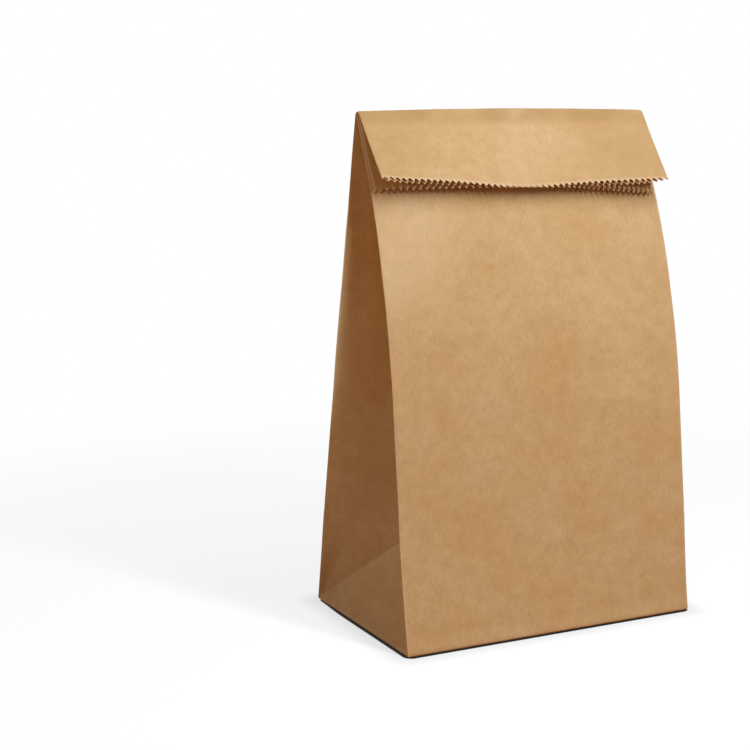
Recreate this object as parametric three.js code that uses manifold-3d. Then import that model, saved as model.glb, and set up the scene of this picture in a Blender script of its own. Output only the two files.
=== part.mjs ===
// Paper grocery bag, standing on its base with its mouth folded over to the front.
// One sheet of kraft paper: a tube with V-folded side gussets, a block bottom, a lap seam in the
// right gusset and a saw-toothed mouth.
// Millimetres, +Z up. The front panel faces -Y, and the origin is the middle of the base on the floor.
import * as THREE from "three";
import { mergeVertices } from "three/addons/utils/BufferGeometryUtils.js";
import Module from "manifold-3d";

// The sheet
const BAG_WIDTH = 152.4; // front and back panels
const GUSSET_DEPTH = 95.2; // each side panel, and the depth of the base
const PAPER_LENGTH = 281.2; // back panel's left edge, from the base crease to the tips of its teeth
const MOUTH_SKEW = 3.4; // how much longer the sheet is at its right edge
const MOUTH_SAG = 1.9; // how much longer the sheet is in the middle of the mouth
const MOUTH_STEP = 0.2; // how much shorter the front panel is at the mouth
const PAPER_THICKNESS = 0.12;
const FOLD_ROUND = 0.4; // from the tip of a fold to where its two plies run flat
const TOOTH_PITCH = 3.175;
const TOOTH_DEPTH = 1.6;
const SEAM_LAP = 12; // width of the lap seam
const SEAM_SETBACK = 8; // from the back edge of the right gusset to the lap
const SEAM_STEP = 0.4; // width over which the paper climbs onto the lap

// The base
const BASE_ROLL = 1.2; // radius of the crease between the base and the walls
const FLAP_LAP = 18; // overlap of the two bottom flaps
const FLAP_PLIES = 2; // bottom flaps under the middle of the base, where they overlap

// The walls
const CREST_HEIGHT = 238; // floor to the top of the fold-over, at its ends
const CREST_RISE = 1; // how much higher the fold-over is in the middle
const FRONT_BELLY_LEFT = 11; // how far the front panel bulges at its left and right edges
const FRONT_BELLY_RIGHT = 11.8;
const BELLY_RISE_LEFT = 1.6; // above 1 the bulge sits in the upper half of the panel
const BELLY_RISE_RIGHT = 1.28;
const BACK_BELLY = 1.2;

// The fold-over at the top
const INNER_BEND = 0.7; // bend radius of the front panel, the innermost ply
const BEND_SETBACK = 2.3; // axis of the bend, behind the middle of the base
const PLY_SPACING = 0.4; // between neighbouring plies, where the folded gussets are pressed flat
const BEND_SPRING = 0.4; // how much wider the back panel bends at the ends, where the stack springs up
const SPRING_SETBACK = 0.1; // how much further back its axis is there
const FLAP_REST = 4; // degrees between the front panel's lean and the middle of the flap
const OUTER_LIFT_LEFT = 10.8; // degrees that the flap's outer ply springs up at each end
const OUTER_LIFT_RIGHT = 9.3;
const INNER_FALL = 3.7; // degrees that its inner ply falls back to the front panel there
const SPRING_POWER = 1.6; // how the spring grows towards the ends
const INNER_TUCK_LEFT = 1; // how far the inner ply's corners at the mouth are drawn in
const INNER_TUCK_RIGHT = 4;

// Mesh steps
const PANEL_CELLS = 8;
const GUSSET_CELLS = 5; // in each half of a gusset, and up to the end of its diagonal creases
const WALL_STEPS = 9;
const BEND_STEPS = 6;
const FLAP_STEPS = 4;
const RIM_BAND = 4; // strip at the mouth, below the last row, that the teeth are cut in
const LENGTH_SAMPLES = 24; // chords that the length of a wall is summed from
const WELD_TOLERANCE = PAPER_THICKNESS / 100;

const { degToRad, lerp, smoothstep } = THREE.MathUtils;
const halfWidth = BAG_WIDTH / 2;
const halfDepth = GUSSET_DEPTH / 2;
const baseHeight = (FLAP_PLIES + 0.5) * PAPER_THICKNESS; // middle of the base sheet

// Share of the way from the middle of the bag (0) to either end (1).
const endShare = (x) => Math.abs(x) / halfWidth;
// Share of the way from the left end (0) to the right end (1).
const rightShare = (x) => (x + halfWidth) / BAG_WIDTH;

// How far the stack has sprung up, from the middle (0) to either end (1).
const springShare = (x) => endShare(x) ** SPRING_POWER;
// Height of the plies pressed at the crest: two in the middle, and four where the gussets reach.
const gussetReach = halfWidth - halfDepth;
const stackHeight = (x) => PLY_SPACING * (1 + 2 * smoothstep(Math.abs(x), gussetReach / 3, gussetReach));

// Length of the back panel up to the tips of its teeth.
const sheetLength = (x) => PAPER_LENGTH + MOUTH_SKEW * rightShare(x) + MOUTH_SAG * (1 - endShare(x) ** 2);

// Front and back plies, each a curve in the YZ plane: a wall, a bend over the crest and a flap.
const FRONT = {
  side: -1,
  belly: (x) => lerp(FRONT_BELLY_LEFT, FRONT_BELLY_RIGHT, rightShare(x)),
  bellyRise: (x) => lerp(BELLY_RISE_LEFT, BELLY_RISE_RIGHT, rightShare(x)),
  radius: () => INNER_BEND,
  setback: () => BEND_SETBACK,
  drop: stackHeight,
  lift: () => -INNER_FALL,
  length: (x) => sheetLength(x) - MOUTH_STEP,
};
const BACK = {
  side: 1,
  belly: () => BACK_BELLY,
  bellyRise: () => 1,
  radius: (x) => INNER_BEND + stackHeight(x) + BEND_SPRING * springShare(x),
  setback: (x) => BEND_SETBACK + SPRING_SETBACK * springShare(x),
  drop: () => 0,
  lift: (x) => lerp(OUTER_LIFT_LEFT, OUTER_LIFT_RIGHT, rightShare(x)),
  length: sheetLength,
};

function bendCentre(ply, x) {
  const crest = CREST_HEIGHT + CREST_RISE * (1 - endShare(x) ** 2);
  return { y: ply.setback(x), z: crest - ply.drop(x) - ply.radius(x) };
}

// Slope dy/dz with which a wall runs into its bend.
function topSlope(ply, x) {
  const centre = bendCentre(ply, x);
  const run = centre.y + ply.radius(x) - ply.side * halfDepth;
  const bellyRun = ply.side * ply.belly(x) * Math.PI * ply.bellyRise(x);
  return (run - bellyRun) / centre.z;
}

// Everything about one ply at one place across the bag.
function plyAt(ply, x) {
  const centre = bendCentre(ply, x);
  const radius = ply.radius(x);
  const start = -Math.atan(topSlope(ply, x));
  const lean = Math.atan(topSlope(FRONT, x));
  const flapAngle = lean + degToRad(FLAP_REST + ply.lift(x) * springShare(x));
  const end = Math.PI - flapAngle;
  const top = {
    y: centre.y + radius * Math.cos(start),
    z: centre.z + radius * Math.sin(start),
  };
  const wall = (t) => {
    const bulge = ply.belly(x) * Math.sin(Math.PI * t ** ply.bellyRise(x));
    return { y: lerp(ply.side * halfDepth, top.y, t) + ply.side * bulge, z: lerp(BASE_ROLL, top.z, t) };
  };
  const bend = (t) => {
    const angle = lerp(start, end, t);
    return { y: centre.y + radius * Math.cos(angle), z: centre.z + radius * Math.sin(angle) };
  };
  const flapLength = ply.length(x) - wallLength(wall) - radius * (end - start);
  const flap = (t) => {
    const root = bend(1);
    const reach = t * flapLength;
    return { y: root.y - reach * Math.sin(flapAngle), z: root.z - reach * Math.cos(flapAngle) };
  };
  return { wall, bend, flap, flapLength };
}

function wallLength(wall) {
  let length = BASE_ROLL;
  for (let i = 0; i < LENGTH_SAMPLES; i += 1) {
    const a = wall(i / LENGTH_SAMPLES);
    const b = wall((i + 1) / LENGTH_SAMPLES);
    length += Math.hypot(b.y - a.y, b.z - a.z);
  }
  return length;
}

// A station runs 0 to 1 up the wall, 1 to 2 over the bend and 2 to 3 down the flap.
const MOUTH_STATION = 3;

function plyPoint(ply, x, station) {
  const curve = plyAt(ply, x);
  if (station <= 1) return curve.wall(station);
  if (station <= 2) return curve.bend(station - 1);
  return curve.flap(station - 2);
}

// The apex of the triangle that the diagonal creases cut off at the foot of each gusset. It folds
// inwards about the base edge until it is as far from the panel edges as the paper is wide.
const apexStation = halfDepth / wallLength(plyAt(BACK, halfWidth).wall);

function gussetApex(side) {
  const front = plyPoint(FRONT, side * halfWidth, apexStation);
  const back = plyPoint(BACK, side * halfWidth, apexStation);
  const halfSpan = (back.y - front.y) / 2;
  const edgeHeight = (back.z + front.z) / 2;
  const height = (halfSpan ** 2 + edgeHeight ** 2) / (2 * edgeHeight);
  return { inset: Math.sqrt(halfDepth ** 2 - height ** 2), height, drop: edgeHeight - height };
}

// How far the middle crease of a gusset stands inside the panel edges.
function creaseInset(side, station) {
  const wallStation = Math.min(station, 1);
  const front = plyPoint(FRONT, side * halfWidth, wallStation);
  const back = plyPoint(BACK, side * halfWidth, wallStation);
  const drop = creaseDrop(side, wallStation);
  return Math.sqrt(halfDepth ** 2 - ((back.y - front.y) / 2) ** 2 - drop ** 2);
}

// How far the middle crease hangs below the panel edges. It is level with them at the crest.
function creaseDrop(side, station) {
  return gussetApex(side).drop * (1 - station) / (1 - apexStation);
}

// Foot of a gusset: a base triangle below the diagonal crease, and a facet between it and the edge.
function gussetFoot(side, ply, share, station) {
  const apex = gussetApex(side);
  const rise = station / apexStation;
  const onTriangle = (across, up) => new THREE.Vector3(
    side * (halfWidth - apex.inset * up),
    ply.side * halfDepth * (1 - across),
    lerp(BASE_ROLL, apex.height, up),
  );
  if (share >= rise) return onTriangle(share, rise);
  const edge = plyPoint(ply, side * halfWidth, station);
  const edgePoint = new THREE.Vector3(side * halfWidth, edge.y, edge.z);
  return edgePoint.lerp(onTriangle(rise, rise), share / rise);
}

// Gusset point at a share of the way from a panel edge (0) to the middle crease (1).
function gussetPoint(side, ply, share, station) {
  if (station < apexStation) return gussetFoot(side, ply, share, station);
  const x = side * (halfWidth - creaseInset(side, station) * share);
  const slipped = slipStation(side, share, station);
  const front = plyPoint(FRONT, x, slipped);
  const back = plyPoint(BACK, x, slipped);
  const gap = Math.hypot(back.y - front.y, back.z - front.z);
  const depth = gussetDepth(share, gap) / gap;
  const through = ply.side < 0 ? depth : 1 - depth;
  return new THREE.Vector3(x, lerp(front.y, back.y, through), lerp(front.z, back.z, through));
}

// How far a gusset ply lies from the panel that it is folded from. The folds are rounded, so the
// plies keep their spacing where the gap between the panels closes.
function gussetDepth(share, gap) {
  if (share === 0) return PLY_SPACING / 2;
  if (share === 1) return gap / 2;
  const flank = FOLD_ROUND / halfDepth;
  return lerp(PLY_SPACING, (gap - PLY_SPACING) / 2, (share - flank) / (1 - 2 * flank));
}

// The middle crease is drawn down at the foot, so it lags behind the panels on the wall and at the mouth.
function slipStation(side, share, station) {
  if (station <= 1) return station - creaseDrop(side, station) * share / CREST_HEIGHT;
  if (station <= 2) return station;
  const recess = gussetApex(side).drop / plyAt(BACK, side * halfWidth).flapLength;
  return 2 + (station - 2) * (1 - recess * share);
}

// A point of the sheet. The front panel's flap and its gusset halves are drawn in towards the middle.
function sheetPoint(column, station) {
  const point = flatSidedPoint(column, station);
  if (column.ply === FRONT && station > 2) {
    const share = column.side === 0 ? endShare(point.x) ** 2 : 1 - column.share;
    const reach = point.x < 0 ? INNER_TUCK_LEFT : -INNER_TUCK_RIGHT;
    point.x += reach * share * (station - 2);
  }
  return point;
}

// The same with its ends upright. On a panel, share runs from its left end to its right end.
function flatSidedPoint(column, station) {
  if (column.side !== 0) return gussetPoint(column.side, column.ply, column.share, station);
  if (column.share === 0) return gussetPoint(-1, column.ply, 0, station);
  if (column.share === 1) return gussetPoint(1, column.ply, 0, station);
  const x = lerp(-halfWidth, halfWidth, column.share);
  const point = plyPoint(column.ply, x, station);
  return new THREE.Vector3(x, point.y, point.z);
}

// Columns round the sheet, anticlockwise from above: front, right gusset, back, left gusset.
// Each panel is a run of columns whose last one is the first of the next run. The columns at its ends
// are the tips of the folds, with a column close beside each where the fold's turn ends.
function panelRun(side, ply, from, to, cells) {
  const flank = FOLD_ROUND / (side === 0 ? BAG_WIDTH : halfDepth);
  const places = [0, flank];
  for (let i = 1; i < cells; i += 1) places.push(i / cells);
  places.push(1 - flank, 1);
  return places.map((place) => ({ side, ply, share: lerp(from, to, place), lap: 0 }));
}

// The lap seam runs down the back half of the right gusset: a strip of two plies.
function addSeam(run) {
  const near = SEAM_SETBACK / halfDepth;
  const far = (SEAM_SETBACK + SEAM_LAP) / halfDepth;
  const step = SEAM_STEP / halfDepth;
  const column = (share, lap) => ({ ...run[0], share, lap });
  const clear = run.filter(({ share }) => share < near - 2 * step || share > far + 2 * step);
  const seam = [column(near - step, 0), column(near, 1), column(far, 1), column(far + step, 0)];
  return [...clear, ...seam].sort((a, b) => b.share - a.share);
}

const runs = [
  panelRun(0, FRONT, 0, 1, PANEL_CELLS),
  panelRun(1, FRONT, 0, 1, GUSSET_CELLS),
  addSeam(panelRun(1, BACK, 1, 0, GUSSET_CELLS)),
  panelRun(0, BACK, 1, 0, PANEL_CELLS),
  panelRun(-1, BACK, 0, 1, GUSSET_CELLS),
  panelRun(-1, FRONT, 1, 0, GUSSET_CELLS),
];
const columns = runs.flatMap((run) => run.slice(0, -1));
const nextColumns = runs.flatMap((run) => run.slice(1));

// Stations of the mesh rows, from the base crease to just short of the teeth.
function stationRows() {
  const rows = [];
  for (let i = 0; i < GUSSET_CELLS; i += 1) rows.push(apexStation * i / GUSSET_CELLS);
  for (let i = 0; i < WALL_STEPS; i += 1) rows.push(lerp(apexStation, 1, i / WALL_STEPS));
  for (let i = 0; i < BEND_STEPS; i += 1) rows.push(1 + i / BEND_STEPS);
  const flapLength = plyAt(BACK, 0).flapLength;
  const lastRow = 1 - RIM_BAND / flapLength;
  for (let i = 0; i <= FLAP_STEPS; i += 1) rows.push(2 + lastRow * i / FLAP_STEPS);
  return rows;
}

// The sheet's middle surface, as points and triangles, with its saw-toothed rim in order.
function sheetSurface() {
  const points = [];
  const laps = [];
  const triangles = [];
  const addPoint = (point, lap) => {
    points.push(point);
    laps.push(lap);
    return points.length - 1;
  };
  const count = columns.length;
  const stations = stationRows();

  // The base: a middle point, a ring inside the crease, then the rows of the walls.
  const hub = addPoint(new THREE.Vector3(0, 0, baseHeight), 0);
  const inset = new THREE.Vector3(1 - BASE_ROLL / halfWidth, 1 - BASE_ROLL / halfDepth, 0);
  const ring = columns.map((column) => {
    const foot = sheetPoint(column, 0).multiply(inset);
    return addPoint(foot.setZ(baseHeight), 0);
  });
  const rows = [ring];
  for (const station of stations) {
    rows.push(columns.map((column) => addPoint(sheetPoint(column, station), column.lap)));
  }
  for (let c = 0; c < count; c += 1) {
    triangles.push([hub, ring[(c + 1) % count], ring[c]]);
  }
  for (let r = 0; r + 1 < rows.length; r += 1) {
    for (let c = 0; c < count; c += 1) {
      const n = (c + 1) % count;
      const [a, b, d, e] = [rows[r][c], rows[r][n], rows[r + 1][n], rows[r + 1][c]];
      // Cells are split along the diagonal creases, which climb towards the middle of each gusset.
      const climbs = columns[c].side === 0 || nextColumns[c].share > columns[c].share;
      if (climbs) triangles.push([a, b, d], [a, d, e]);
      else triangles.push([a, b, e], [b, d, e]);
    }
  }

  // Teeth: a line of valleys, then a tip between each two of them.
  const lastRow = rows[rows.length - 1];
  const valley = MOUTH_STATION - TOOTH_DEPTH / plyAt(BACK, 0).flapLength;
  const valleyStarts = columns.map((column) => addPoint(sheetPoint(column, valley), column.lap));
  const rim = [];
  columns.forEach((column, c) => {
    const n = (c + 1) % count;
    const next = nextColumns[c];
    const width = Math.abs(next.share - column.share) * (column.side === 0 ? BAG_WIDTH : halfDepth);
    const teeth = Math.round(width / TOOTH_PITCH);
    const lap = Math.min(column.lap, next.lap);
    const between = (share, station) => {
      const place = { ...column, share: lerp(column.share, next.share, share) };
      return addPoint(sheetPoint(place, station), lap);
    };
    const valleys = [valleyStarts[c]];
    for (let i = 1; i < teeth; i += 1) valleys.push(between(i / teeth, valley));
    valleys.push(valleyStarts[n]);
    const middle = Math.floor(valleys.length / 2);
    triangles.push([lastRow[c], lastRow[n], valleys[middle]]);
    for (let i = 0; i + 1 < valleys.length; i += 1) {
      const root = i < middle ? lastRow[c] : lastRow[n];
      triangles.push([root, valleys[i + 1], valleys[i]]);
      rim.push(valleys[i]);
      if (teeth === 0) continue;
      const tip = between((i + 0.5) / teeth, MOUTH_STATION);
      triangles.push([valleys[i], valleys[i + 1], tip]);
      rim.push(tip);
    }
  });
  return { points, laps, triangles, rim };
}

// Outward direction at every point: the mean of its triangles, weighted by their angles there.
function outwardNormals(points, triangles) {
  const normals = points.map(() => new THREE.Vector3());
  for (const corners of triangles) {
    const [a, b, c] = corners.map((i) => points[i]);
    const face = new THREE.Triangle(a, b, c).getNormal(new THREE.Vector3());
    corners.forEach((index, k) => {
      const toNext = points[corners[(k + 1) % 3]].clone().sub(points[index]);
      const toLast = points[corners[(k + 2) % 3]].clone().sub(points[index]);
      normals[index].addScaledVector(face, toNext.angleTo(toLast));
    });
  }
  return normals.map((normal) => normal.normalize());
}

// The sheet given its thickness: an outside, an inside and the cut edge of the mouth between them.
function paperShell() {
  const { points, laps, triangles, rim } = sheetSurface();
  const normals = outwardNormals(points, triangles);
  const half = PAPER_THICKNESS / 2;
  const moved = (i, distance) => points[i].clone().addScaledVector(normals[i], distance);
  const outside = points.map((_, i) => moved(i, half + laps[i] * PAPER_THICKNESS));
  const inside = points.map((_, i) => moved(i, -half));
  const shift = points.length;
  const faces = [];
  for (const [a, b, c] of triangles) {
    faces.push([a, b, c], [shift + a, shift + c, shift + b]);
  }
  rim.forEach((a, i) => {
    const b = rim[(i + 1) % rim.length];
    faces.push([a, b, shift + b], [a, shift + b, shift + a]);
  });
  const geometry = new THREE.BufferGeometry();
  geometry.setFromPoints([...outside, ...inside]);
  geometry.setIndex(faces.flat());
  return geometry;
}

// A bottom flap: a trapezium whose slanted ends are the 45 degree folds from the base corners.
function bottomFlap(ply, plies) {
  const length = halfDepth - BASE_ROLL + FLAP_LAP / 2;
  const longHalf = halfWidth - BASE_ROLL;
  const foldLine = ply.side * (halfDepth - BASE_ROLL);
  const freeEdge = -ply.side * FLAP_LAP / 2;
  const outline = new THREE.Shape([
    new THREE.Vector2(-longHalf, foldLine),
    new THREE.Vector2(longHalf, foldLine),
    new THREE.Vector2(longHalf - length, freeEdge),
    new THREE.Vector2(length - longHalf, freeEdge),
  ]);
  const underside = (FLAP_PLIES - plies) * PAPER_THICKNESS;
  const flap = new THREE.ExtrudeGeometry(outline, { depth: baseHeight - underside, bevelEnabled: false });
  return flap.translate(0, 0, underside);
}

const wasm = await Module();
wasm.setup();

function solid(geometry) {
  const bare = geometry.clone();
  bare.deleteAttribute("normal");
  bare.deleteAttribute("uv");
  const merged = mergeVertices(bare, WELD_TOLERANCE);
  return new wasm.Manifold(new wasm.Mesh({
    numProp: 3,
    vertProperties: new Float32Array(merged.attributes.position.array),
    triVerts: new Uint32Array(merged.index.array),
  }));
}

// The back flap is glued down first, and the front flap laps over it.
function paperBag() {
  const bag = solid(paperShell())
    .add(solid(bottomFlap(BACK, 1)))
    .add(solid(bottomFlap(FRONT, FLAP_PLIES)));
  const { vertProperties, triVerts } = bag.getMesh();
  const geometry = new THREE.BufferGeometry();
  geometry.setAttribute("position", new THREE.BufferAttribute(vertProperties, 3));
  geometry.setIndex(new THREE.BufferAttribute(triVerts, 1));
  geometry.computeVertexNormals();
  const kraft = new THREE.MeshStandardMaterial({ color: 0xc1956a, roughness: 0.85, metalness: 0 });
  const mesh = new THREE.Mesh(geometry, kraft);
  mesh.name = "paper_bag";
  return mesh;
}

const bag = new THREE.Group();
bag.add(paperBag());

export default bag;
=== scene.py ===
"""Paper grocery bag, standing with its mouth folded over to the front, in a plain studio.

The folded sheet is worked out in millimetres and its mesh is made in metres. +Z is up, and the front panel
faces -Y.
"""
import math
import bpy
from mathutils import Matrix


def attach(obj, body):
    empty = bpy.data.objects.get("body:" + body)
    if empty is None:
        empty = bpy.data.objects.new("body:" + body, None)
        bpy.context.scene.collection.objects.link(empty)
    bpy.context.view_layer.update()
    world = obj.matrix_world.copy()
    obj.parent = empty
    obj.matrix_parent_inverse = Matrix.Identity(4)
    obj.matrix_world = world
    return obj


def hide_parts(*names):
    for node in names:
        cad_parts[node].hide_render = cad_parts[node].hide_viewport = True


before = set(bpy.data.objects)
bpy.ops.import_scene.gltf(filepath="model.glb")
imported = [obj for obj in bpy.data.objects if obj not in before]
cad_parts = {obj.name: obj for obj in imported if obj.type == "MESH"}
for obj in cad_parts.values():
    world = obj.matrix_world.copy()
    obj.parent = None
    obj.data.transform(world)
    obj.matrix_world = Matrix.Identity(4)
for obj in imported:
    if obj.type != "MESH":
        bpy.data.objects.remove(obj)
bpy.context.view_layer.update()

from types import SimpleNamespace

import bpy
import numpy as np
from mathutils import Matrix, Vector, noise

METRES = 0.001  # metres in a millimetre
TINY = 1e-9  # keeps a divisor off zero

# The sheet
BAG_WIDTH = 152.4  # front and back panels
GUSSET_DEPTH = 95.2  # each side panel, and the depth of the base
PAPER_LENGTH = 281.2  # back panel's left edge, from the base crease to the tips of its teeth
MOUTH_SKEW = 3.4  # how much longer the sheet is at its right edge
MOUTH_STEP = 0.2  # how much shorter the front panel is at the mouth
MOUTH_SAG = 1.9  # how much longer the sheet is in the middle of the mouth
PAPER_THICKNESS = 0.12
FOLD_ROUND = 0.4  # from the tip of a fold to where its two plies run flat
PANEL_TEETH = 48  # saw teeth across the front or the back
GUSSET_TEETH = 15  # saw teeth across half a gusset
TOOTH_DEPTH = 1.6
SEAM_LAP = 12  # width of the lap seam
SEAM_SETBACK = 8  # from the back edge of the right gusset to the lap
SEAM_STEP = 0.4  # width over which the paper climbs onto the lap

# The base
BASE_ROLL = 1.2  # radius of the crease between the base and the walls
FLAP_LAP = 18  # overlap of the two bottom flaps
FLAP_PLIES = 2  # bottom flaps under the middle of the base, where they overlap

# The walls
CREST_HEIGHT = 238  # floor to the top of the fold-over, at its ends
CREST_RISE = 1  # how much higher the fold-over is in the middle
FRONT_BELLY_LEFT = 11  # how far the front panel bulges at its left and right edges
FRONT_BELLY_RIGHT = 11.8
BELLY_RISE_LEFT = 1.6  # above 1 the bulge sits in the upper half of the panel
BELLY_RISE_RIGHT = 1.28
BACK_BELLY = 1.2

# The fold-over at the top
INNER_BEND = 0.7  # bend radius of the front panel, the innermost ply
BEND_SETBACK = 2.3  # axis of the bend, behind the middle of the base
PLY_SPACING = 0.4  # between neighbouring plies, where the folded gussets are pressed flat
STACK_START = 1 / 3  # share of the way from the middle to the gussets at which the stack starts to thicken
BEND_SPRING = 0.4  # how much wider the back panel bends at the ends, where the stack springs up
SPRING_SETBACK = 0.1  # how much further back its axis is there
SPRING_POWER = 1.6  # how the spring grows towards the ends
FLAP_REST = 6.7  # degrees between the front panel's lean and the middle of the flap
OUTER_LIFT_LEFT = 8.1  # degrees that the flap's outer ply springs up at each end
OUTER_LIFT_RIGHT = 6.6
OUTER_DRAW = 0.4  # how much its ends are drawn up
OUTER_SAG = 0.6  # how much lower it hangs in the middle
INNER_FALL = 6.4  # degrees that the inner ply falls back to the front panel at the ends
INNER_TUCK_LEFT = 0.1  # how far its corners at the mouth are drawn in
INNER_TUCK_RIGHT = 4
INNER_DROOP = 2  # how much lower it hangs at its right end
DROOP_POWER = 4  # how that grows towards this end
INNER_SAG = 1.8  # how much lower it hangs in the middle, where its teeth show between the outer ones
TEETH_SHIFT = 0.5  # teeth by which its row lies to the side there
MIDDLE_ZONE = (0.3, 0.55)  # shares of the way to the ends between which this and the outer sag die out
GUSSET_HANG = 1.0  # how much lower the gussets' back halves hang at the mouth, most near the outer folds
HANG_START_LEFT = 0.06  # share of a half gusset over which that grows from nothing at the fold
HANG_START_RIGHT = 0.25

# The paper's own unevenness
WAVE_HEIGHT = 0.35  # slow waves of the whole stack, which move neighbouring plies together
WAVE_LENGTH = 48
RIPPLE_HEIGHT = 0.12
RIPPLE_LENGTH = 19
WAVE_FOOT = 25  # height over which the waves grow from nothing at the base
WAVE_SEED = 7  # of the noise that waves and ripples come from
GUSSET_BOW = 1.2  # how far the half gussets bow outwards between their creases
BOW_GROWTH = 30  # length over which that grows, above the triangle at the foot
BOW_END = (0.6, 0.9)  # shares of the wall between which it dies out
BACK_ROLL = 2.4  # how far the gussets roll out beside the soft upper part of the back folds
BACK_ROLL_WIDTH = 28
BACK_ROLL_START = (0.35, 0.5)  # shares of the wall between which the roll grows
BACK_ROLL_END = (0.75, 0.87)  # and between which it dies out
ROLL_PEAK = 3.5  # brings the highest point of the roll's curve to about 1

# Stray creases: where they start and end, round and up the sheet, their height, how far the bend beside them
# reaches, and the strength of a pale line on them
SHEET_ROUND = 2 * (BAG_WIDTH + GUSSET_DEPTH)  # all round the sheet, back to the front left fold
CREASE_END = 3  # distance from a fold or the base in which they die out
CREASES = [
    SimpleNamespace(start=(400, 46.5), end=(421, 45.6), height=-0.50, reach=9, pale=0.30),
    SimpleNamespace(start=(421, 45.6), end=(442, 47.2), height=-0.30, reach=8, pale=0.16),
    SimpleNamespace(start=(422.6, 46), end=(423.6, 31), height=0.20, reach=5, pale=0.12),
    SimpleNamespace(start=(401.5, 55), end=(406.5, 46.5), height=0.25, reach=4, pale=0.12),
    SimpleNamespace(start=(401, 2), end=(410, 24), height=-1.10, reach=8, pale=0.06),
    SimpleNamespace(start=(452.4, 3), end=(452.4, 27), height=0.25, reach=6, pale=0.08),
    SimpleNamespace(start=(443, 8), end=(446, 0), height=0.12, reach=4, pale=0.08),
    SimpleNamespace(start=(14.3, 25.5), end=(17.5, 12.5), height=0.20, reach=4, pale=0.16),
    SimpleNamespace(start=(0, 6.5), end=(BAG_WIDTH, 6.5), height=-0.22, reach=6, pale=0),
    SimpleNamespace(start=(30, 112), end=(140, 105), height=0.22, reach=12, pale=0),
    SimpleNamespace(start=(400, 0.6), end=(SHEET_ROUND, 0.6), height=0, reach=1, pale=0.35),
    # These two are painted highlights: the front left fold of the flap, where it catches the light
    SimpleNamespace(start=(0, 207), end=(0, 283), height=0, reach=1, pale=3),
    SimpleNamespace(start=(SHEET_ROUND, 207), end=(SHEET_ROUND, 283), height=0, reach=1, pale=3),
]

# Paleness of folds and cut edges: worn fibre, and painted highlight where folds and edges catch the light
FLANK_WEAR_AND_HIGHLIGHT = 0.5  # beside a fold, as a share of the fold's own
WALL_WEAR_AND_HIGHLIGHT = 0.4  # folds of the walls
FLAP_FOLD_HIGHLIGHT = 1.9  # inner folds of the flap, a painted highlight where they catch the light
RIM_WEAR_AND_HIGHLIGHT = 1.0  # outer cut edge at the mouth
GUSSET_RIM_WEAR_AND_HIGHLIGHT = 0.1  # cut edges of the gussets
INNER_WEAR_AND_HIGHLIGHT = 1.5  # inner cut edge
MIDDLE_WEAR_AND_HIGHLIGHT = 0.5  # and in the middle of that edge

# Mesh steps
FOOT_ROWS = 2 * GUSSET_TEETH  # as many as columns in half a gusset, so that cells follow the diagonal creases
FINE_ROWS = 12  # just as high as those, above the creases
WALL_ROWS = 52
BEND_ROWS = 8
FLAP_ROWS = 14
RIM_BAND = 4  # strip at the mouth, below the last plain row
TOOTH_ROOT = 0.8  # from the valleys of the teeth to the row above them
PAST_CREST_ROWS = FLAP_ROWS + 3  # lines of points from the root of the flap to the rim
ROLL_ROWS = 4
SEAM_CLEAR = 2  # seam steps on each side of the seam's own columns that hold no other column
LENGTH_SAMPLES = 24  # chords that the length of a wall is summed from
SHARP_ANGLE = math.radians(32)  # an edge is shaded sharp where its faces turn by more than this

HALF_WIDTH = BAG_WIDTH / 2
HALF_DEPTH = GUSSET_DEPTH / 2
BASE_HEIGHT = (FLAP_PLIES + 0.5) * PAPER_THICKNESS  # middle of the base sheet


def lerp(a, b, t):
    return a + (b - a) * t


def smoothstep(value, low, high):
    t = np.clip((value - low) / (high - low), 0, 1)
    return t * t * (3 - 2 * t)


def end_share(x):
    """Share of the way from the middle of the bag (0) to either end (1)."""
    return np.abs(x) / HALF_WIDTH


def right_share(x):
    """Share of the way from the left end (0) to the right end (1)."""
    return (x + HALF_WIDTH) / BAG_WIDTH


def arch(x):
    """1 in the middle of the bag, falling in a curve to 0 at its ends."""
    return 1 - end_share(x) ** 2


def spring_share(x):
    """How far the stack has sprung up, from the middle (0) to either end (1)."""
    return end_share(x) ** SPRING_POWER


def middle_share(x):
    """1 in the middle of the mouth, and 0 towards its ends."""
    return 1 - smoothstep(end_share(x), *MIDDLE_ZONE)


def gusset_reach(x):
    """0 in the middle of the crest, with two plies, and 1 where the gussets reach, with four."""
    reach = HALF_WIDTH - HALF_DEPTH
    return smoothstep(np.abs(x), STACK_START * reach, reach)


def stack_height(x):
    """Height of the plies pressed at the crest."""
    return PLY_SPACING * (1 + 2 * gusset_reach(x))


def sheet_length(x):
    """Length from the base crease to the tips of the teeth, before the two panels differ."""
    return PAPER_LENGTH + MOUTH_SKEW * right_share(x) + MOUTH_SAG * arch(x)


def front_length(x):
    droop = INNER_DROOP * right_share(x) ** DROOP_POWER
    sag = INNER_SAG * (1 - gusset_reach(x))
    return sheet_length(x) - MOUTH_STEP + droop + sag


def back_length(x):
    return sheet_length(x) - OUTER_DRAW * end_share(x) + OUTER_SAG * middle_share(x)


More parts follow.
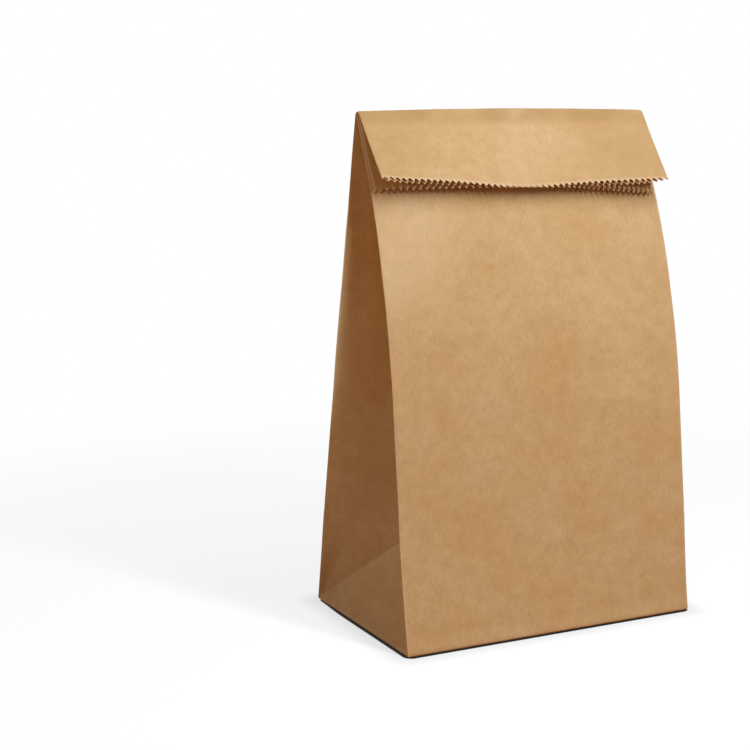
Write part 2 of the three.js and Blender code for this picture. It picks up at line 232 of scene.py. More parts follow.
# Front and back plies, each a curve in the YZ plane: a wall, a bend over the crest and a flap
FRONT = SimpleNamespace(
    side=-1,
    belly=lambda x: lerp(FRONT_BELLY_LEFT, FRONT_BELLY_RIGHT, right_share(x)),
    belly_rise=lambda x: lerp(BELLY_RISE_LEFT, BELLY_RISE_RIGHT, right_share(x)),
    radius=lambda x: INNER_BEND,
    setback=lambda x: BEND_SETBACK,
    drop=stack_height,
    lift=lambda x: -INNER_FALL,
    length=front_length,
)
BACK = SimpleNamespace(
    side=1,
    belly=lambda x: BACK_BELLY,
    belly_rise=lambda x: 1,
    radius=lambda x: INNER_BEND + stack_height(x) + BEND_SPRING * spring_share(x),
    setback=lambda x: BEND_SETBACK + SPRING_SETBACK * spring_share(x),
    drop=lambda x: 0,
    lift=lambda x: lerp(OUTER_LIFT_LEFT, OUTER_LIFT_RIGHT, right_share(x)),
    length=back_length,
)

# Stations along a ply: 0 at the base crease, and these at the ends of the wall, the bend and the flap
WALL_TOP = 1
FLAP_ROOT = 2
MOUTH = 3


def bend_centre(ply, x):
    """Where the axis of the bend lies, as y and z."""
    crest = CREST_HEIGHT + CREST_RISE * arch(x)
    return ply.setback(x), crest - ply.drop(x) - ply.radius(x)


def top_slope(ply, x):
    """Slope dy/dz with which a wall runs into its bend."""
    y, z = bend_centre(ply, x)
    run = y + ply.radius(x) - ply.side * HALF_DEPTH
    belly_run = ply.side * ply.belly(x) * np.pi * ply.belly_rise(x)
    return (run - belly_run) / z


def bend_angles(ply, x):
    """Angles of the bend's start, at the top of the wall, and of its end, at the root of the flap."""
    start = -np.arctan(top_slope(ply, x))
    lean = np.arctan(top_slope(FRONT, x))
    flap = lean + np.radians(FLAP_REST + ply.lift(x) * spring_share(x))
    return start, np.pi - flap


def wall_point(ply, x, t):
    """A point of the bulging wall, at a share of the way from the base crease (0) to the bend (1)."""
    y, z = bend_centre(ply, x)
    start, _ = bend_angles(ply, x)
    top_y = y + ply.radius(x) * np.cos(start)
    top_z = z + ply.radius(x) * np.sin(start)
    bulge = ply.belly(x) * np.sin(np.pi * t ** ply.belly_rise(x))
    return lerp(ply.side * HALF_DEPTH, top_y, t) + ply.side * bulge, lerp(BASE_ROLL, top_z, t)


def wall_length(ply, x):
    t = np.linspace(0, 1, LENGTH_SAMPLES + 1)
    y, z = wall_point(ply, np.asarray(x)[..., None], t)
    return BASE_ROLL + np.hypot(np.diff(y), np.diff(z)).sum(axis=-1)


def flap_length(ply, x):
    start, end = bend_angles(ply, x)
    return ply.length(x) - wall_length(ply, x) - ply.radius(x) * (end - start)


def flap_share(station):
    """Share of the way from the root of the flap (0) to the mouth (1)."""
    return np.clip(station - FLAP_ROOT, 0, 1)


def ply_point(ply, x, station):
    """A point of a ply, as y and z. Past the mouth it runs straight on."""
    y, z = bend_centre(ply, x)
    start, end = bend_angles(ply, x)
    wall_y, wall_z = wall_point(ply, x, np.clip(station, 0, WALL_TOP))
    turn = lerp(start, end, np.clip(station - WALL_TOP, 0, 1))
    reach = np.maximum(station - FLAP_ROOT, 0) * flap_length(ply, x)
    flap = np.pi - end
    over_y = y + ply.radius(x) * np.cos(turn) - reach * np.sin(flap)
    over_z = z + ply.radius(x) * np.sin(turn) - reach * np.cos(flap)
    on_wall = station <= WALL_TOP
    return np.where(on_wall, wall_y, over_y), np.where(on_wall, wall_z, over_z)


def points_of(x, y, z):
    return np.stack(np.broadcast_arrays(x, y, z), axis=-1)


# The diagonal creases cut off a triangle at the foot of each gusset, which folds inwards about the base edge
APEX_STATION = HALF_DEPTH / wall_length(BACK, HALF_WIDTH)


def gusset_apex(side):
    """Top corner of the triangle, and how far it hangs below the panel edges beside it."""
    front_y, front_z = ply_point(FRONT, side * HALF_WIDTH, APEX_STATION)
    back_y, back_z = ply_point(BACK, side * HALF_WIDTH, APEX_STATION)
    half_span = (back_y - front_y) / 2
    edge_height = (back_z + front_z) / 2
    height = (half_span ** 2 + edge_height ** 2) / (2 * edge_height)
    inset = np.sqrt(HALF_DEPTH ** 2 - height ** 2)
    return SimpleNamespace(inset=inset, height=height, drop=edge_height - height)


def crease_drop(side, station):
    """How far the middle crease hangs below the panel edges. It is level with them at the crest."""
    return gusset_apex(side).drop * (WALL_TOP - station) / (WALL_TOP - APEX_STATION)


def crease_inset(side, station):
    """How far the middle crease of a gusset stands inside the panel edges."""
    wall_station = np.minimum(station, WALL_TOP)
    front_y, _ = ply_point(FRONT, side * HALF_WIDTH, wall_station)
    back_y, _ = ply_point(BACK, side * HALF_WIDTH, wall_station)
    drop = crease_drop(side, wall_station)
    return np.sqrt(HALF_DEPTH ** 2 - ((back_y - front_y) / 2) ** 2 - drop ** 2)


def slip_station(side, share, station):
    """The middle crease is drawn down at the foot, so it lags behind the panels on the wall."""
    wall = station - crease_drop(side, station) * share / CREST_HEIGHT
    return np.where(station <= WALL_TOP, wall, station)


def hang_station(side, share, station):
    """Stations by which the back half of a gusset runs ahead on the flap."""
    start = HANG_START_LEFT if side < 0 else HANG_START_RIGHT
    hang = GUSSET_HANG * smoothstep(share, 0, start) * (1 - share)
    return hang * flap_share(station) / flap_length(BACK, side * HALF_WIDTH)


def gusset_depth(share, gap):
    """How far a gusset ply lies from its own panel, by the width of the gap between the panels."""
    flank = FOLD_ROUND / HALF_DEPTH
    between = lerp(PLY_SPACING, (gap - PLY_SPACING) / 2, (share - flank) / (1 - 2 * flank))
    return np.select([share == 0, share == 1], [PLY_SPACING / 2, gap / 2], between)


def gusset_wall(side, ply, share, station):
    """A half gusset above the apex, between the front and the back ply."""
    x = side * (HALF_WIDTH - crease_inset(side, station) * share)
    slipped = slip_station(side, share, station)
    if ply is BACK:
        slipped = slipped + hang_station(side, share, station)
    front_y, front_z = ply_point(FRONT, x, slipped)
    back_y, back_z = ply_point(BACK, x, slipped)
    gap = np.hypot(back_y - front_y, back_z - front_z)
    depth = gusset_depth(share, gap) / gap
    through = depth if ply is FRONT else 1 - depth
    return points_of(x, lerp(front_y, back_y, through), lerp(front_z, back_z, through))


def gusset_foot(side, ply, share, station):
    """A base triangle below the diagonal crease, and a facet between the crease and the panel edge."""
    apex = gusset_apex(side)
    rise = np.maximum(station / APEX_STATION, TINY)

    def on_triangle(across, up):
        y = ply.side * HALF_DEPTH * (1 - across)
        return points_of(side * (HALF_WIDTH - apex.inset * up), y, lerp(BASE_ROLL, apex.height, up))

    edge = points_of(side * HALF_WIDTH, *ply_point(ply, side * HALF_WIDTH, station))
    facet = lerp(edge, on_triangle(rise, rise), (share / rise)[..., None])
    return np.where((share >= rise)[..., None], on_triangle(share, rise), facet)


def gusset_points(side, ply, share, station):
    """Points at shares of the way from a panel edge (0) to the middle crease (1)."""
    foot = gusset_foot(side, ply, share, station)
    wall = gusset_wall(side, ply, share, np.maximum(station, APEX_STATION))
    return np.where((station < APEX_STATION)[..., None], foot, wall)


def tucked(points, share, station):
    """The inner ply and its gusset halves, with their flap drawn in towards the middle."""
    reach = np.where(points[..., 0] < 0, INNER_TUCK_LEFT, -INNER_TUCK_RIGHT)
    shift = reach * share * flap_share(station)
    return points + points_of(shift, 0, 0)


def panel_run(side, ply, start, end, teeth):
    """Columns of one panel or half gusset, without its last fold, and one close beside each fold."""
    width = BAG_WIDTH if side == 0 else HALF_DEPTH
    flank = FOLD_ROUND / width
    cells = 2 * teeth
    places = np.concatenate([[0, flank], np.arange(1, cells) / cells, [1 - flank]])
    wear_and_highlight = np.where(places == 0, 1.0, 0.0)
    wear_and_highlight[[1, -1]] = FLANK_WEAR_AND_HIGHLIGHT
    return SimpleNamespace(
        side=side,
        ply=ply,
        start=start,
        teeth=teeth,
        width=width,
        share=lerp(start, end, places),
        wear_and_highlight=wear_and_highlight,
        lap=np.zeros_like(places),
    )


def add_seam(run):
    """The lap seam runs down the back half of the right gusset: a strip of two plies."""
    near = SEAM_SETBACK / HALF_DEPTH
    far = (SEAM_SETBACK + SEAM_LAP) / HALF_DEPTH
    step = SEAM_STEP / HALF_DEPTH
    seam = np.array([near - step, near, far, far + step])
    crowded = (np.abs(run.share[:, None] - seam) < SEAM_CLEAR * step).any(axis=1)
    share = np.concatenate([run.share[~crowded], seam])
    wear_and_highlight = np.concatenate([run.wear_and_highlight[~crowded], np.zeros_like(seam)])
    order = np.argsort(-share)
    run.share = share[order]
    run.wear_and_highlight = wear_and_highlight[order]
    run.lap = np.where((run.share >= near) & (run.share <= far), 1.0, 0.0)
    return run


def sheet_runs():
    """The panels and half gussets in their order round the sheet, from the front left fold."""
    return [
        panel_run(0, FRONT, 0, 1, PANEL_TEETH),
        panel_run(1, FRONT, 0, 1, GUSSET_TEETH),
        add_seam(panel_run(1, BACK, 1, 0, GUSSET_TEETH)),
        panel_run(0, BACK, 1, 0, PANEL_TEETH),
        panel_run(-1, BACK, 0, 1, GUSSET_TEETH),
        panel_run(-1, FRONT, 1, 0, GUSSET_TEETH),
    ]


def station_rows(tooth):
    """Stations of the mesh rows, from the base crease to the saw-toothed rim, for every column."""
    foot_step = APEX_STATION / FOOT_ROWS
    fine_top = APEX_STATION + FINE_ROWS * foot_step
    length = flap_length(BACK, 0)
    plain = np.concatenate([
        foot_step * np.arange(FOOT_ROWS + FINE_ROWS),
        np.linspace(fine_top, WALL_TOP, WALL_ROWS, endpoint=False),
        np.linspace(WALL_TOP, FLAP_ROOT, BEND_ROWS, endpoint=False),
        np.linspace(FLAP_ROOT, MOUTH - RIM_BAND / length, FLAP_ROWS + 1),
        [MOUTH - (TOOTH_DEPTH + TOOTH_ROOT) / length],
    ])
    rim = MOUTH - TOOTH_DEPTH * (1 - tooth) / length
    return np.vstack([np.repeat(plain[:, None], len(tooth), axis=1), rim])


def across_bag(share):
    return lerp(-HALF_WIDTH, HALF_WIDTH, share)


def run_places(run):
    """Shares of the way across a run, from its first fold (0) to its last (1)."""
    return np.abs(run.share - run.start)


def teeth_slide(run):
    """How far the columns lie to the side, which only those of the inner row of teeth do."""
    if run.side != 0 or run.ply is BACK:
        return 0
    return TEETH_SHIFT * BAG_WIDTH / PANEL_TEETH * middle_share(across_bag(run.share))


def panel_points(run, station):
    """A panel, whose first column is the fold that it shares with a gusset."""
    x = across_bag(run.share) + teeth_slide(run)
    points = points_of(x, *ply_point(run.ply, x, station))
    corner = 1 if run.start == 1 else -1
    points[:, :1] = gusset_points(corner, run.ply, np.zeros(1), station[:, :1])
    return points


def run_points(run):
    """Points of a panel or half gusset, in rows from the base crease to the mouth."""
    tooth = np.abs(1 - 2 * np.mod(run_places(run) * run.teeth, 1))
    station = station_rows(tooth)
    if run.side == 0:
        points = panel_points(run, station)
        tuck_share = end_share(across_bag(run.share) + teeth_slide(run)) ** 2
    else:
        points = gusset_points(run.side, run.ply, run.share, station)
        tuck_share = 1 - run.share
    return tucked(points, tuck_share, station) if run.ply is FRONT else points


def base_roll(foot):
    """Rows of the rounded crease under the foot of the walls, from the flat base outwards."""
    rows = []
    for step in range(ROLL_ROWS, 0, -1):
        angle = step / ROLL_ROWS * math.pi / 2
        inwards = BASE_ROLL * (1 - math.cos(angle))
        shrink = np.array([1 - inwards / HALF_WIDTH, 1 - inwards / HALF_DEPTH, 1])
        row = foot * shrink
        row[:, 2] = lerp(BASE_ROLL, BASE_HEIGHT, math.sin(angle))
        rows.append(row)
    return np.array(rows)


def sheet_wear_and_highlight(sheet, fold_wear_and_highlight):
    """Paleness of the points, worn fibre and painted highlight: folds on the walls and inside the flap, and
    the cut edge of the mouth.
    """
    flank = 2 * FOLD_ROUND / HALF_DEPTH
    in_gusset = sheet.gusset != 0
    middle_crease = in_gusset & (1 - sheet.share < flank)
    outer_ply = sheet.back & (~in_gusset | (sheet.share < flank))
    wear_and_highlight = np.where(middle_crease & (sheet.up < HALF_DEPTH), 0, fold_wear_and_highlight)
    wear_and_highlight[:-PAST_CREST_ROWS] *= WALL_WEAR_AND_HIGHLIGHT
    wear_and_highlight[-PAST_CREST_ROWS:] *= np.where(outer_ply, 0, FLAP_FOLD_HIGHLIGHT)
    inner_wear_and_highlight = lerp(INNER_WEAR_AND_HIGHLIGHT, MIDDLE_WEAR_AND_HIGHLIGHT, middle_share(across_bag(sheet.share)))
    wear_and_highlight[-1] = np.select([outer_ply, in_gusset], [RIM_WEAR_AND_HIGHLIGHT, GUSSET_RIM_WEAR_AND_HIGHLIGHT], inner_wear_and_highlight)
    return wear_and_highlight


def folded_sheet():
    """The sheet's middle surface as a grid of points, with the place of each on the flat paper."""
    runs = sheet_runs()
    walls = np.concatenate([run_points(run) for run in runs], axis=1)
    points = np.concatenate([base_roll(walls[0]), walls])
    steps = np.linalg.norm(np.diff(points, axis=0), axis=-1)
    up = np.concatenate([np.zeros((1, points.shape[1])), np.cumsum(steps, axis=0)])
    around = []
    begin = 0
    for run in runs:
        around.append(begin + run_places(run) * run.width + teeth_slide(run))
        begin += run.width

    def columns(value):
        return np.concatenate([np.broadcast_to(value(run), run.share.shape) for run in runs])

    sheet = SimpleNamespace(
        points=points,
        around=np.append(np.concatenate(around), begin),
        up=up - up[ROLL_ROWS],
        gusset=columns(lambda run: run.side),
        back=columns(lambda run: run.ply is BACK),
        share=columns(lambda run: run.share),
        lap=columns(lambda run: run.lap),
    )
    sheet.wear_and_highlight = sheet_wear_and_highlight(sheet, columns(lambda run: run.wear_and_highlight))
    return sheet


def cell_splits(sheet, c, n):
    """Corners of the faces of a cell: one quad, or two triangles along the diagonals of a gusset."""
    if sheet.gusset[c] == 0:
        return [(0, 1, 2, 3)]
    if sheet.share[n] > sheet.share[c]:
        return [(0, 1, 2), (0, 2, 3)]
    return [(0, 1, 3), (1, 2, 3)]


def sheet_faces(sheet):
    """Faces of the grid and of the base, and the flat paper's coordinates at their corners."""
    rows, count = sheet.points.shape[:2]
    hub = rows * count
    faces = []
    places = []
    for r in range(rows - 1):
        for c in range(count):
            n = (c + 1) % count
            corners = [r * count + c, r * count + n, (r + 1) * count + n, (r + 1) * count + c]
            left = sheet.around[c]
            right = sheet.around[c + 1]
            spots = [(left, sheet.up[r, c]), (right, sheet.up[r, n]),
                     (right, sheet.up[r + 1, n]), (left, sheet.up[r + 1, c])]
            for split in cell_splits(sheet, c, n):
                faces.append([corners[k] for k in split])
                places.append([spots[k] for k in split])
    for c in range(count):
        n = (c + 1) % count
        left = sheet.around[c]
        right = sheet.around[c + 1]
        faces.append([hub, n, c])
        places.append([((left + right) / 2, -HALF_DEPTH), (right, sheet.up[0, n]), (left, sheet.up[0, c])])
    return faces, places


def vertex_normals(points, faces):
    """Outward direction at every point."""
    mesh = bpy.data.meshes.new("scratch")
    mesh.from_pydata(points.tolist(), [], faces)
    normals = np.empty(len(points) * 3, dtype=np.float32)
    mesh.vertex_normals.foreach_get("vector", normals)
    bpy.data.meshes.remove(mesh)
    return normals.reshape(-1, 3)


def waves(points):
    """Slow unevenness of the paper. Plies that lie on each other move alike."""
    noise.seed_set(WAVE_SEED)
    moved = np.empty_like(points)
    for i, point in enumerate(points):
        place = Vector(point)
        moved[i] = (
            WAVE_HEIGHT * noise.noise_vector(place / WAVE_LENGTH)
            + RIPPLE_HEIGHT * noise.noise_vector(place / RIPPLE_LENGTH)
        )
    return moved * smoothstep(points[:, 2:], BASE_ROLL, WAVE_FOOT)


def stray_creases():
    """The creases, and those of the left gusset mirrored onto the right one."""
    middle_of_back = BAG_WIDTH + GUSSET_DEPTH + HALF_WIDTH
    mirrored = []
    for crease in CREASES:
        if crease.start[0] > BAG_WIDTH:
            start, end = [(2 * middle_of_back - around, up) for around, up in (crease.start, crease.end)]
            mirrored.append(SimpleNamespace(**{**vars(crease), "start": start, "end": end}))
    return CREASES + mirrored


def crease_height(crease, around, up):
    """A bend with flat flanks, which dies out at its reach from the crease."""
    run = np.subtract(crease.end, crease.start)
    length = np.hypot(*run)
    along = ((around - crease.start[0]) * run[0] + (up - crease.start[1]) * run[1]) / length ** 2
    along = np.clip(along, 0, 1)
    off = np.hypot(around - crease.start[0] - along * run[0], up - crease.start[1] - along * run[1])
    return crease.height * np.clip(1 - off / crease.reach, 0, 1)


def gusset_bow(sheet, up_wall):
    """How far the half gussets bow out between their creases."""
    grow = smoothstep(sheet.up, HALF_DEPTH, HALF_DEPTH + BOW_GROWTH)
    fade = 1 - smoothstep(up_wall, *BOW_END)
    return GUSSET_BOW * np.sin(np.pi * sheet.share) * grow * fade


def back_roll(sheet, up_wall):
    """How far the gussets roll out beside the back folds."""
    beside_fold = np.clip(sheet.share * HALF_DEPTH / BACK_ROLL_WIDTH, 0, 1)
    roll = ROLL_PEAK * np.sqrt(beside_fold) * (1 - beside_fold) ** 2
    soft = smoothstep(up_wall, *BACK_ROLL_START) * (1 - smoothstep(up_wall, *BACK_ROLL_END))
    return np.where(sheet.back, BACK_ROLL * roll * soft, 0)


def relief(sheet):
    """How far the paper stands out of its plain folded form, along its normals."""
    up_wall = sheet.up * APEX_STATION / HALF_DEPTH
    stand = np.where(sheet.gusset == 0, 0, gusset_bow(sheet, up_wall) + back_roll(sheet, up_wall))
    creased = sum(crease_height(crease, sheet.around[:-1], sheet.up) for crease in stray_creases())
    width = np.where(sheet.gusset == 0, BAG_WIDTH, HALF_DEPTH)
    from_fold = np.minimum(sheet.share, 1 - sheet.share) * width
    return stand + creased * smoothstep(from_fold, 0, CREASE_END) * smoothstep(sheet.up, 0, CREASE_END)


def uneven_points(sheet, faces):
    """Points of the grid and of the middle of the base, with the paper's own unevenness."""
    plain = np.vstack([sheet.points.reshape(-1, 3), [0, 0, BASE_HEIGHT]])
    stand = np.append(relief(sheet).ravel(), 0)
    return plain + vertex_normals(plain, faces) * stand[:, None] + waves(plain)


def paper_shell(sheet):
    """The outside and the inside of the sheet, with the lap seam on the outside."""
    faces, places = sheet_faces(sheet)
    middle = uneven_points(sheet, faces)
    normals = vertex_normals(middle, faces)
    half = PAPER_THICKNESS / 2
    lap = np.append(np.tile(sheet.lap, len(sheet.points)), 0)
    outside = middle + normals * (half + lap * PAPER_THICKNESS)[:, None]
    inside = middle - normals * half
    begin = len(middle)
    return SimpleNamespace(
        points=np.vstack([outside, inside]),
        faces=faces + [[begin + k for k in reversed(face)] for face in faces],
        places=places + [list(reversed(place)) for place in places],
        wear_and_highlight=np.tile(np.append(sheet.wear_and_highlight.ravel(), 0), 2),
    )


def close_rim(shell, sheet):
    """The cut edge of the mouth, between the outside and the inside."""
    rows, count = sheet.points.shape[:2]
    outer = (rows - 1) * count
    inner = outer + len(shell.points) // 2
    for c in range(count):
        n = (c + 1) % count
        shell.faces.append([outer + c, outer + n, inner + n, inner + c])
        left = (sheet.around[c], sheet.up[-1, c])
        right = (sheet.around[c + 1], sheet.up[-1, n])
        shell.places.append([left, right, right, left])


def bottom_flap(ply, plies):
    """A trapezium whose slanted ends are the 45 degree folds from the base corners, as a thin prism."""
    length = HALF_DEPTH - BASE_ROLL + FLAP_LAP / 2
    long_half = HALF_WIDTH - BASE_ROLL
    fold_line = ply.side * (HALF_DEPTH - BASE_ROLL)
    free_edge = -ply.side * FLAP_LAP / 2
    outline = [
        (-long_half, fold_line),
        (long_half, fold_line),
        (long_half - length, free_edge),
        (length - long_half, free_edge),
    ]
    if ply is BACK:
        outline.reverse()
    underside = (FLAP_PLIES - plies) * PAPER_THICKNESS
    low = [(x, y, underside) for x, y in outline]
    high = [(x, y, BASE_HEIGHT) for x, y in outline]
    sides = [[k, (k + 1) % 4, 4 + (k + 1) % 4, 4 + k] for k in range(4)]
    return np.array(low + high), [[3, 2, 1, 0], [4, 5, 6, 7], *sides]


def glue_flap(shell, ply, plies):
    """Adds a bottom flap on the underside of the base, which reaches that many plies down from it."""
    corners, faces = bottom_flap(ply, plies)
    begin = len(shell.points)
    for face in faces:
        shell.faces.append([begin + k for k in face])
        shell.places.append([(corners[k][0], corners[k][1]) for k in face])
    shell.points = np.vstack([shell.points, corners])
    shell.wear_and_highlight = np.append(shell.wear_and_highlight, np.zeros(len(corners)))


def bag_mesh():
    sheet = folded_sheet()
    shell = paper_shell(sheet)
    close_rim(shell, sheet)
    glue_flap(shell, BACK, 1)
    glue_flap(shell, FRONT, FLAP_PLIES)
    mesh = bpy.data.meshes.new("paper_bag_sheet")
    mesh.from_pydata((shell.points * METRES).tolist(), [], shell.faces)
    flat = mesh.uv_layers.new(name="sheet")
    spots = np.array([spot for place in shell.places for spot in place]) * METRES
    flat.uv.foreach_set("vector", spots.astype(np.float32).ravel())
    worn_and_highlit = mesh.attributes.new("wear_and_highlight", "FLOAT", "POINT")
    worn_and_highlit.data.foreach_set("value", shell.wear_and_highlight.astype(np.float32))
    mesh.shade_smooth()
    mesh.set_sharp_from_angle(angle=SHARP_ANGLE)
    mesh.validate()
    return mesh


def add_node(tree, kind, inputs=None, **settings):
    """A node with its settings, and with values or links on its inputs."""
    made = tree.nodes.new(kind)
    for name, value in settings.items():
        setattr(made, name, value)
    for socket, value in (inputs or {}).items():
        if isinstance(value, bpy.types.NodeSocket):
            tree.links.new(value, made.inputs[socket])
        else:
            made.inputs[socket].default_value = value
    return made


def worked_out(tree, operation, *values):
    """The result of a sum with numbers."""
    return add_node(tree, "ShaderNodeMath", dict(enumerate(values)), operation=operation).outputs[0]


def vector_sum(tree, operation, *values):
    """The results of a sum with vectors, as a Vector or a Value."""
    return add_node(tree, "ShaderNodeVectorMath", dict(enumerate(values)), operation=operation).outputs


def ramp(tree, value, span, result=(0, 1), shape="LINEAR"):
    """Runs over the result while the value runs over the span."""
    return add_node(tree, "ShaderNodeMapRange", {
        "Value": value, "From Min": span[0], "From Max": span[1], "To Min": result[0], "To Max": result[1],
    }, interpolation_type=shape).outputs["Result"]


def soft_ramp(tree, value, span, result=(0, 1)):
    """A ramp with soft ends."""
    return ramp(tree, value, span, result, "SMOOTHSTEP")


def mixed_colour(tree, factor, first, second, blend="MIX"):
    return add_node(tree, "ShaderNodeMix", {
        "Factor": factor, "A": first, "B": second,
    }, data_type="RGBA", blend_type=blend).outputs["Result"]


def mixed_shader(tree, factor, first, second):
    return add_node(tree, "ShaderNodeMixShader", {0: factor, 1: first, 2: second}).outputs[0]


def uneven(tree, place, pattern):
    """A noise pattern on the sheet."""
    return add_node(tree, "ShaderNodeTexNoise", {
        "Vector": place, "Scale": 1 / pattern.size, "Detail": pattern.detail,
        "Roughness": pattern.roughness, "Distortion": pattern.distortion,
    }).outputs["Fac"]


WHITE = (1, 1, 1, 1)

# Kraft paper, in metres
KRAFT_DARK = (0.525, 0.318, 0.146, 1)
KRAFT_LIGHT = (0.625, 0.402, 0.198, 1)
TONE_SPAN = (0.35, 0.65)  # values of the grain at which the paper is dark and light
WORN_FIBRE_AND_HIGHLIGHT = (0.86, 0.63, 0.41, 1)
CREASE_WIDTH = 0.0006
PAPER_SPECULAR = 0.08
PAPER_ROUGH = (0.55, 0.75)  # between and on the fibres
BUMP_STRENGTH = 0.35
BUMP_HEIGHT = 0.0002

# Patterns of the paper: how large they are, and how many finer layers they have, how strong and how bent
MOTTLE = SimpleNamespace(size=0.007, detail=4, roughness=0.6, distortion=0)
FIBRE = SimpleNamespace(size=0.0007, detail=3, roughness=0.6, distortion=0)
FIBRE_STRETCH = 0.25  # fibres lie up the sheet, so they are four times as long as wide
FIBRE_SHARE = 0.5  # of the grain, and the mottling has the rest
FLECK = SimpleNamespace(size=0.0012, detail=1, roughness=0.5, distortion=0.6)
FLECK_SPAN = (0.64, 0.72)  # values of their pattern between which flecks begin
FLECK_STRENGTH = 0.7
CLOUD = SimpleNamespace(size=0.034, detail=2, roughness=0.5, distortion=0)
CLOUD_SPAN = (0.3, 0.7)  # values of their pattern at which slow clouds are dark and pale
CLOUD_DARK = (0.97, 0.94, 0.87, 1)
CLOUD_PALE = (1.035, 1.06, 1.13, 1)

# A darker band along the crest
# Darker brown of the crest band and of the painted shade patches
DARK_BROWN = (0.46, 0.275, 0.117, 1)
CREST_DARKENING = 1.3  # strength
CREST_DARK_BAND = (0.004, 0.011)  # distances from the crest line between which that fades out
CREST_DARK_PATCH = SimpleNamespace(size=0.024, detail=2, roughness=0.5, distortion=0)
CREST_DARK_SPAN = (0.3, 0.7)  # values of that pattern at which none and all of the band is darkened
CREST_UP = 0.2425  # crest line up the sheet

# Soft patches of painted shade, on the ends of the flap and low on the left gusset, and of painted light, on
# # the upper left of the front, the middle of the flap and the left gusset, with their middle and reach round
# and up the sheet
PAINTED_SHADE_PATCHES = [
    SimpleNamespace(middle=(0.258, 0.268), reach=(0.055, 0.04), strength=0.55),
    SimpleNamespace(middle=(0.394, 0.264), reach=(0.04, 0.036), strength=0.40),
    SimpleNamespace(middle=(0.428, 0.066), reach=(0.03, 0.05), strength=0.50),
]
PAINTED_LIGHT_PATCHES = [
    SimpleNamespace(middle=(0.006, 0.178), reach=(0.045, 0.05), strength=0.26),
    SimpleNamespace(middle=(0.324, 0.264), reach=(0.04, 0.03), strength=0.10),
    SimpleNamespace(middle=(0.411, 0.135), reach=(0.014, 0.05), strength=0.27),
]


def crease_line(tree, flat, crease):
    """The strength of a crease's pale line, and 0 beside it and beyond its ends."""
    start = Vector((*crease.start, 0)) * METRES
    run = Vector((*crease.end, 0)) * METRES - start
    away = vector_sum(tree, "SUBTRACT", flat, start)["Vector"]
    share = vector_sum(tree, "DOT_PRODUCT", away, run / run.length_squared)["Value"]
    held = add_node(tree, "ShaderNodeClamp", {"Value": share}).outputs[0]
    foot = add_node(tree, "ShaderNodeVectorMath", {0: run, "Scale": held}, operation="SCALE").outputs[0]
    off = vector_sum(tree, "DISTANCE", away, foot)["Value"]
    return soft_ramp(tree, off, (0, CREASE_WIDTH), (crease.pale, 0))


def soft_patch(tree, flat, patch):
    """The patch's strength in its middle, fading out to 0 at its reach."""
    middle = Vector((*patch.middle, 0))
    scale = Vector((1 / patch.reach[0], 1 / patch.reach[1], 0))
    away = vector_sum(tree, "SUBTRACT", flat, middle)["Vector"]
    scaled = vector_sum(tree, "MULTIPLY", away, scale)["Vector"]
    off = vector_sum(tree, "LENGTH", scaled)["Value"]
    return soft_ramp(tree, off, (0, 1), (patch.strength, 0))


def paper_grain(tree, flat):
    """Slow mottling, fine fibres and flecks along the fibres, and a grain of the first two."""
    stretched = vector_sum(tree, "MULTIPLY", flat, (1, FIBRE_STRETCH, 1))["Vector"]
    fibre = uneven(tree, stretched, FIBRE)
    blend = add_node(tree, "ShaderNodeMix", {
        "Factor": FIBRE_SHARE, "A": uneven(tree, flat, MOTTLE), "B": fibre,
    }).outputs["Result"]
    return SimpleNamespace(fibre=fibre, fleck=uneven(tree, stretched, FLECK), blend=blend)


def bare_paper(tree, flat, grain):
    """Kraft brown with its grain, slow clouds and sparse dark flecks."""
    paper = mixed_colour(tree, ramp(tree, grain.blend, TONE_SPAN), KRAFT_DARK, KRAFT_LIGHT)
    drift = ramp(tree, uneven(tree, flat, CLOUD), CLOUD_SPAN)
    tint = mixed_colour(tree, drift, CLOUD_DARK, CLOUD_PALE)
    clouded = mixed_colour(tree, 1, paper, tint, "MULTIPLY")
    flecks = ramp(tree, grain.fleck, FLECK_SPAN, (0, FLECK_STRENGTH))
    return mixed_colour(tree, flecks, clouded, KRAFT_DARK)


def patched_paper(tree, flat, paper):
    """The paper with a darker band along its crest, and its soft patches of painted shade and painted light.
    """
    up = add_node(tree, "ShaderNodeSeparateXYZ", {0: flat}).outputs["Y"]
    from_crest = worked_out(tree, "ABSOLUTE", worked_out(tree, "SUBTRACT", up, CREST_UP))
    band = soft_ramp(tree, from_crest, CREST_DARK_BAND, (CREST_DARKENING, 0))
    broken_up = ramp(tree, uneven(tree, flat, CREST_DARK_PATCH), CREST_DARK_SPAN)
    patched = mixed_colour(tree, worked_out(tree, "MULTIPLY", band, broken_up), paper, DARK_BROWN)
    # Painted shade in the darker brown, and painted light in the pale colour
    for colour, patches in ((DARK_BROWN, PAINTED_SHADE_PATCHES), (WORN_FIBRE_AND_HIGHLIGHT, PAINTED_LIGHT_PATCHES)):
        for patch in patches:
            patched = mixed_colour(tree, soft_patch(tree, flat, patch), patched, colour)
    return patched


def worn_and_highlit_paper(tree, flat, grain, paper):
    """The paper with paler fibres on folds, stray creases and cut edges: worn fibre, and painted highlight
    where folds and edges catch the light.
    """
    worn_and_highlit = add_node(tree, "ShaderNodeAttribute", attribute_name="wear_and_highlight").outputs["Fac"]
    for crease in stray_creases():
        if crease.pale > 0:
            worn_and_highlit = worked_out(tree, "MAXIMUM", worn_and_highlit, crease_line(tree, flat, crease))
    return mixed_colour(tree, worked_out(tree, "MULTIPLY", worn_and_highlit, grain.fibre), paper, WORN_FIBRE_AND_HIGHLIGHT)


